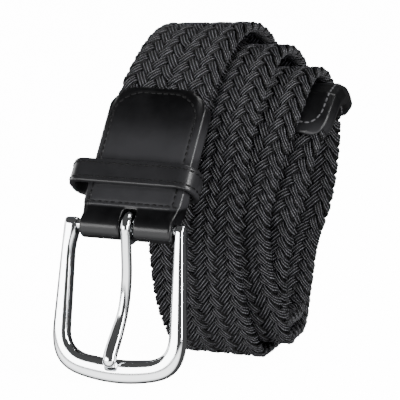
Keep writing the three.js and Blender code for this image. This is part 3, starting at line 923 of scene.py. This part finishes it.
inside = BUCKLE_INSIDE / 2
shoulder = inside + SIDE_BAR
outside = shoulder + SIDE_FLARE
foot = -BUCKLE_REACH
inner_foot = foot + END_BAR
down_side = np.linspace(0, 1, 14, endpoint=False)
round_corner = np.linspace(0, 1, 14, endpoint=False)
to_middle = np.linspace(0, 0.5, 9)
outer_half = np.concatenate([
    bezier([(-shoulder, 0), (-outside, foot + END_BOW + CORNER_OUTER)], down_side),
    bezier([(-outside, foot + END_BOW + CORNER_OUTER), (-outside, foot + END_BOW + 3),
            (-outside + CORNER_OUTER * 0.3, foot + END_BOW),
            (-outside + CORNER_OUTER, foot + END_BOW * 0.35)], round_corner),
    bezier([(-outside + CORNER_OUTER, foot + END_BOW * 0.35), (0, foot - END_BOW * 0.35),
            (outside - CORNER_OUTER, foot + END_BOW * 0.35)], to_middle),
])
inner_half = np.concatenate([
    bezier([(-inside, 0), (-inside, inner_foot + CORNER_INNER)], down_side),
    bezier([(-inside, inner_foot + CORNER_INNER), (-inside, inner_foot + END_BOW * 0.5),
            (-inside + CORNER_INNER, inner_foot + END_BOW * 0.3)], round_corner),
    bezier([(-inside + CORNER_INNER, inner_foot + END_BOW * 0.3),
            (0, inner_foot - END_BOW * 0.2),
            (inside - CORNER_INNER, inner_foot + END_BOW * 0.3)], to_middle),
])
mirror = np.array([-1, 1])
outer_line = np.concatenate([outer_half, (outer_half * mirror)[-2::-1]])
inner_line = np.concatenate([inner_half, (inner_half * mirror)[-2::-1]])
# The left arm has room beside the leather, and swells inwards where it holds the bar.
inner_line[:, 0] += 1.3 * bump_of(inner_line[:, 1], -8, -1) * (inner_line[:, 0] < 0)

SECTION_POINTS = 28
SQUARENESS = 2.7
around = np.linspace(0, 2 * math.pi, SECTION_POINTS, endpoint=False)
section_x = np.sign(np.cos(around)) * np.abs(np.cos(around)) ** (2 / SQUARENESS)
section_y = np.sign(np.sin(around)) * np.abs(np.sin(around)) ** (2 / SQUARENESS)


def frame_ring(outer, inner, wide=1.0, deep=1.0, raised=0.0):
    middle = (outer + inner) / 2
    half = (outer - inner) / 2 * wide
    x = middle[0] + section_x * half[0]
    z = middle[1] + section_x * half[1] + raised
    return np.stack([x, section_y * half_depth * deep, z], axis=1)


rings = [frame_ring(o, i) for o, i in zip(outer_line, inner_line)]
# The arms end in half rounds about the bar: width, depth and rise over the bar
knuckle = [(0.55, 0.25, 2.15), (0.85, 0.5, 1.95), (0.95, 0.74, 1.5), (0.985, 0.92, 0.85)]
first = [frame_ring(outer_line[0], inner_line[0], *row) for row in knuckle]
last = [frame_ring(outer_line[-1], inner_line[-1], *row) for row in reversed(knuckle)]
rings = [in_buckle(r) for r in first + rings + last]
buckle = skin_mesh("chromed_buckle_frame", rings)

# %% The notch and the bar
notch_radius = TONGUE_TIP / 2 + FIT
notch_x = TONGUE_SET + TONGUE_ASIDE
notch_y = -half_depth - TONGUE_TIP / 2 + NOTCH
smoother = buckle.modifiers.new("smoother", "SUBSURF")
smoother.levels = 2
smoother.render_levels = 2
evaluated = buckle.evaluated_get(bpy.context.evaluated_depsgraph_get())
fine = bpy.data.meshes.new_from_object(evaluated)
buckle.modifiers.clear()
buckle.data = fine
points = vertices_of(fine)
local = (points - buckle_origin) @ buckle_turn
beside = np.clip(1 - ((local[:, 0] - notch_x) / notch_radius) ** 2, 0, None)
floor_y = notch_y + notch_radius * np.sqrt(beside)
inward = bump_of(local[:, 2], inner_foot - TONGUE_OVERHANG - 1.2, inner_foot - TONGUE_OVERHANG)
pressed = np.maximum(local[:, 1], floor_y)
in_notch = (beside > 0) & (local[:, 1] < 0) & (local[:, 2] < inner_foot + 3)
local[:, 1] = np.where(in_notch, local[:, 1] + (pressed - local[:, 1]) * inward, local[:, 1])
set_vertices(fine, local @ buckle_turn.T + buckle_origin)

bar_rings = []
for x in (-inside - 1.5, -inside + 0.1, 0, inside - 0.1, inside + 1.5):
    ring = np.stack([np.full(32, x), BAR_RADIUS * np.cos(np.linspace(0, 2 * math.pi, 32, False)),
                     BAR_RADIUS * np.sin(np.linspace(0, 2 * math.pi, 32, False))], axis=1)
    bar_rings.append(in_buckle(ring))
bar = skin_mesh("buckle_bar", bar_rings)


def joined(name, pieces):
    """One object from several whose places are all in their meshes."""
    builder = bmesh.new()
    for piece in pieces:
        builder.from_mesh(piece.data)
    mesh = bpy.data.meshes.new(name)
    builder.to_mesh(mesh)
    builder.free()
    for piece in pieces:
        bpy.data.objects.remove(piece)
    mesh.materials.append(chrome)
    result = bpy.data.objects.new(name, mesh)
    bpy.context.scene.collection.objects.link(result)
    return result


buckle = joined("chromed_buckle", [buckle, bar])
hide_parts("buckle_frame")
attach(buckle, "buckle")

# %% The tongue
# Share of the way down, out / eye radius, aside / TONGUE_ASIDE
TONGUE_TABLE = [
    (0.0, 1.0, 0.0), (0.14, 0.62, 0.0), (0.36, 0.12, 0.04), (0.58, 0.05, 0.24),
    (0.78, 0.42, 0.7), (0.92, 0.86, 0.97), (1.0, 0.98, 1.0),
]
eye_radius = BAR_RADIUS + FIT + TONGUE_WIRE / 2
tongue_down = BUCKLE_REACH - END_BAR + TONGUE_OVERHANG
rest_out = (half_depth - NOTCH + FIT + TONGUE_TIP / 2) / (0.98 * eye_radius)


def tongue_point(drop):
    out = follow(TONGUE_TABLE, 1, drop) * (1 + (rest_out - 1) * bump_of(drop, 0.6, 0.8))
    return np.array([
        TONGUE_SET + TONGUE_ASIDE * follow(TONGUE_TABLE, 2, drop),
        -eye_radius * out,
        -tongue_down * drop,
    ])


stem_rings = []
turn = np.linspace(0, 2 * math.pi, 20, endpoint=False)
for drop in list(np.linspace(0, 0.95, 46)) + [0.965, 0.98, 0.99, 0.997]:
    way = unit(tongue_point(min(1, drop + 0.01)) - tongue_point(drop - 0.01))
    side = unit(X_AXIS - way * way[0])
    out = np.cross(side, way)
    swell = bump_of(drop, 0.55, 0.85)
    close = math.sqrt(max(0, 1 - ((drop - 0.95) / 0.05) ** 2)) if drop > 0.95 else 1
    wide = (TONGUE_WIRE + (TONGUE_TIP - TONGUE_WIRE) * swell) / 2 * close
    deep = (TONGUE_WIRE + (TONGUE_TIP * 0.8 - TONGUE_WIRE) * swell) / 2 * close
    ring = (tongue_point(drop) + np.outer(wide * np.cos(turn), side)
            + np.outer(deep * np.sin(turn), out))
    stem_rings.append(in_buckle(ring))
stem = skin_mesh("tongue_stem", stem_rings)

eye_rings = []
for angle in np.linspace(0, 2 * math.pi, 41):
    centre = np.array([TONGUE_SET, -eye_radius * math.cos(angle), eye_radius * math.sin(angle)])
    radial = unit(centre - np.array([TONGUE_SET, 0, 0]))
    ring = (centre + np.outer(TONGUE_WIRE / 2 * np.cos(turn), X_AXIS)
            + np.outer(TONGUE_WIRE / 2 * np.sin(turn), radial))
    eye_rings.append(in_buckle(ring))
eye = skin_mesh("tongue_eye", eye_rings, closed_ends=False)
builder = bmesh.new()
builder.from_mesh(eye.data)
bmesh.ops.remove_doubles(builder, verts=builder.verts, dist=0.01 * MM)
bmesh.ops.recalc_face_normals(builder, faces=builder.faces)
builder.to_mesh(eye.data)
builder.free()
tongue = joined("chromed_tongue", [stem, eye])
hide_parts("buckle_tongue")
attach(tongue, "tongue")

# %% [markdown]
# ## Studio
# A white floor and large soft lamps give the even, almost shadowless light of a shop photograph.
# The room behind the camera is left darker, so that the chrome has something dark to mirror.

# %% Floor
floor_mesh = bpy.data.meshes.new("floor")
floor_mesh.from_pydata([(-4, -4, 0), (4, -4, 0), (4, 4, 0), (-4, 4, 0)], [], [(0, 1, 2, 3)])
floor_mesh.materials.append(paper)
floor = bpy.data.objects.new("floor", floor_mesh)
floor.location.z = -0.0002
floor.visible_glossy = False
floor.visible_diffuse = False
bpy.context.scene.collection.objects.link(floor)


# %% Lamps and sky
def soft_lamp(name, place, aim, size, power):
    lamp = bpy.data.lights.new(name, "AREA")
    lamp.shape = "RECTANGLE"
    lamp.size, lamp.size_y = size
    lamp.energy = power
    obj = bpy.data.objects.new(name, lamp)
    obj.location = place
    obj.rotation_euler = (Vector(place) - Vector(aim)).to_track_quat("Z", "Y").to_euler()
    bpy.context.scene.collection.objects.link(obj)


soft_lamp("top", (0.55, 0.5, 1.6), (0, 0, 0.05), (0.8, 0.8), 14)
soft_lamp("left", (-1.95, 0.25, 0.35), (0, 0, 0.35), (2.3, 0.7), 18)
soft_lamp("right", (1.5, -0.3, 0.8), (0, 0, 0.05), (0.3, 0.9), 30)
soft_lamp("front_left", (-1.1, -1.7, 0.33), (0, 0, 0.33), (1.7, 0.66), 42)
soft_lamp("front_right", (1.8, -1.04, 0.4), (0, 0, 0.4), (0.6, 0.8), 32)

world = bpy.data.worlds.new("studio")
world.use_nodes = True
tree = world.node_tree
sky = tree.nodes["Background"]
direction = add_node(tree, "ShaderNodeTexCoord")
heading = add_node(tree, "ShaderNodeSeparateXYZ", [("Vector", direction.outputs["Generated"])])
below = add_node(tree, "ShaderNodeMapRange", [("Value", heading.outputs["Z"])],
                 inputs={"From Min": -0.12, "From Max": -0.02, "To Min": 3.4, "To Max": 0.0})
front = add_node(tree, "ShaderNodeMapRange", [("Value", heading.outputs["Y"])],
                 inputs={"From Min": -0.75, "From Max": -0.2, "To Min": 1.0, "To Max": 0.0})
glow = add_node(tree, "ShaderNodeMath", [(0, below.outputs["Result"]), (1, front.outputs["Result"])],
                operation="MULTIPLY_ADD", inputs={2: 0.08})
tree.links.new(glow.outputs[0], sky.inputs["Strength"])
sky.inputs["Color"].default_value = linear("#ffffff")
bpy.context.scene.world = world
